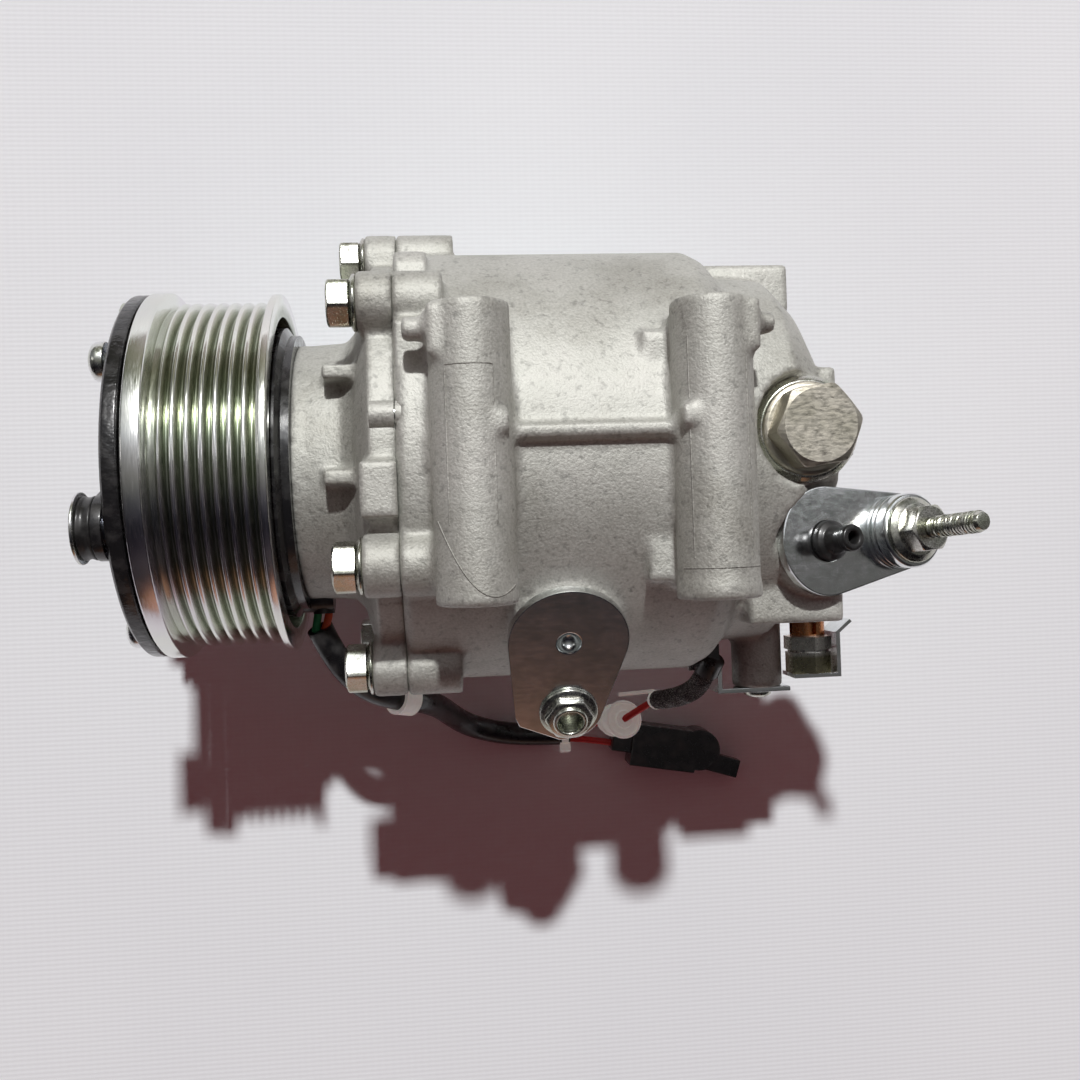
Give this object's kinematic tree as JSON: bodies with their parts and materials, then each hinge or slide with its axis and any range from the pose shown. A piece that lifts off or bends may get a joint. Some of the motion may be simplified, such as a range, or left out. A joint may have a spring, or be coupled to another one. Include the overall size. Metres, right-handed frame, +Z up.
{
  "type": "automotive air-conditioning compressor",
  "caption": "Scroll air-conditioning compressor with ribbed-belt pulley, magnetic clutch, cast aluminium housing, mounting tubes, capped ports and short electrical leads.",
  "frame": {"origin": "on the shaft axis, in the middle plane of the belt grooves", "axes": "+X along the shaft from the clutch to the rear cover, +Z up as the compressor lies on its lower mounting tubes, +Y across, along the mounting bores"},
  "size_m": [0.2355, 0.183, 0.1456],
  "materials": {
    "cast_aluminium": "blasted casting",
    "zinc_pulley": "iridescent zinc plating",
    "black_paint": "glossy black",
    "moulded_black": "moulded, glossy",
    "zinc_bolts": "bright zinc",
    "plug_steel": "warm zinc, satin",
    "bright_plate": "bright pressed steel",
    "rivet_steel": "bright steel",
    "bearing_steel": "ground steel",
    "spring_steel": "blued spring steel",
    "scroll_aluminium": "machined",
    "iron": "cast iron",
    "rubber": "black rubber",
    "brass": "turned brass",
    "sleeve": "matt black sleeve",
    "braid": "black braided sleeve",
    "wire": "insulated wire",
    "white_nylon": "translucent nylon"
  },
  "bodies": {
    "root": {"front_housing": "cast_aluminium", "shell_housing": "cast_aluminium", "case_bolts": "zinc_bolts", "case_bolt_washers": "zinc_bolts", "body_o_rings": "rubber", "case_dowels": "bearing_steel", "snap_rings": "bearing_steel", "pulley_bearing_inner_race": "bearing_steel", "coil_shell": "black_paint", "coil_winding": "moulded_black", "shaft_seal": "rubber", "shaft_needle_shell": "bearing_steel", "main_bearing_outer_race": "bearing_steel", "thrust_plate": "bearing_steel", "anti_rotation_rings": "bearing_steel", "fixed_scroll": "scroll_aluminium", "reed_retainer": "spring_steel", "reed_screw": "zinc_bolts", "suction_cap_plate": "bright_plate", "suction_cap_bolt": "zinc_bolts", "discharge_cap_plate": "bright_plate", "discharge_cap_plug": "rubber", "discharge_stud": "zinc_bolts", "discharge_spacer": "zinc_bolts", "discharge_nut": "zinc_bolts", "service_plug": "plug_steel", "service_plug_washer": "zinc_bolts", "relief_valve": "brass", "relief_valve_clip": "bright_plate", "sensor_bracket": "bright_plate", "bracket_screw": "zinc_bolts", "thermal_switch": "moulded_black", "thermal_lead": "braid", "coil_lead": "sleeve", "lead_wires": "wire", "bullet_connector": "white_nylon", "lead_connector": "moulded_black", "lead_clip": "white_nylon"},
    "pulley": {"pulley_rotor": "zinc_pulley", "pulley_bearing_outer_race": "bearing_steel"},
    "pulley_bearing_balls": {"pulley_bearing_ball_set": "bearing_steel"},
    "shaft": {"drive_shaft": "bearing_steel", "clutch_hub": "black_paint", "clutch_shim": "bearing_steel", "hub_bolt": "zinc_bolts", "hub_stop_rubbers": "rubber", "hub_stop_caps": "rivet_steel", "armature_springs": "spring_steel", "main_bearing_inner_race": "bearing_steel", "eccentric_bushing": "iron", "counterweight": "iron"},
    "armature": {"armature_plate": "black_paint", "armature_rivets": "rivet_steel"},
    "main_bearing_balls": {"main_bearing_ball_set": "bearing_steel"},
    "front_needles": {"shaft_needles": "bearing_steel"},
    "eccentric_needles": {"scroll_needles": "bearing_steel"},
    "orbiting_scroll_set": {"orbiting_scroll": "scroll_aluminium", "anti_rotation_pins": "bearing_steel"},
    "reed": {"discharge_reed": "spring_steel"}
  },
  "joints": [
    {"name": "pulley_spin", "type": "hinge", "parent": "root", "child": "pulley", "pos_m": [0, 0, 0], "axis": [1, 0, 0], "continuous": true},
    {"name": "pulley_balls_roll", "type": "hinge", "parent": "root", "child": "pulley_bearing_balls", "pos_m": [-0.004, 0, 0], "axis": [1, 0, 0], "continuous": true},
    {"name": "shaft_spin", "type": "hinge", "parent": "root", "child": "shaft", "pos_m": [0.03, 0, 0], "axis": [1, 0, 0], "continuous": true},
    {"name": "armature_pull_in", "type": "slide", "parent": "shaft", "child": "armature", "axis": [1, 0, 0], "range_m": [0, 0.00045], "stiffness_N_per_m": 8000, "deforming": ["armature_springs"]},
    {"name": "main_balls_roll", "type": "hinge", "parent": "root", "child": "main_bearing_balls", "pos_m": [0.0325, 0, 0], "axis": [1, 0, 0], "continuous": true},
    {"name": "front_needles_roll", "type": "hinge", "parent": "root", "child": "front_needles", "pos_m": [0.0105, 0, 0], "axis": [1, 0, 0], "continuous": true},
    {"name": "eccentric_needles_roll", "type": "hinge", "parent": "shaft", "child": "eccentric_needles", "pos_m": [0.052, 0, 0.0045], "axis": [1, 0, 0], "continuous": true},
    {"name": "scroll_orbit", "type": "hinge", "parent": "shaft", "child": "orbiting_scroll_set", "pos_m": [0.064, 0, 0.0045], "axis": [1, 0, 0], "continuous": true},
    {"name": "reed_lift", "type": "hinge", "parent": "root", "child": "reed", "pos_m": [0.10805, -0.024, 0], "axis": [0, 0, -1], "range_deg": [0, 3.2], "stiffness_Nm_per_rad": 0.05}
  ],
  "couplings": [
    {"joint": "pulley_balls_roll", "follows": "pulley_spin", "ratio": 0.55287},
    {"joint": "main_balls_roll", "follows": "shaft_spin", "ratio": 0.39783},
    {"joint": "front_needles_roll", "follows": "shaft_spin", "ratio": 0.42418},
    {"joint": "eccentric_needles_roll", "follows": "shaft_spin", "ratio": -0.55133},
    {"joint": "scroll_orbit", "follows": "shaft_spin", "ratio": -1}
  ]
}
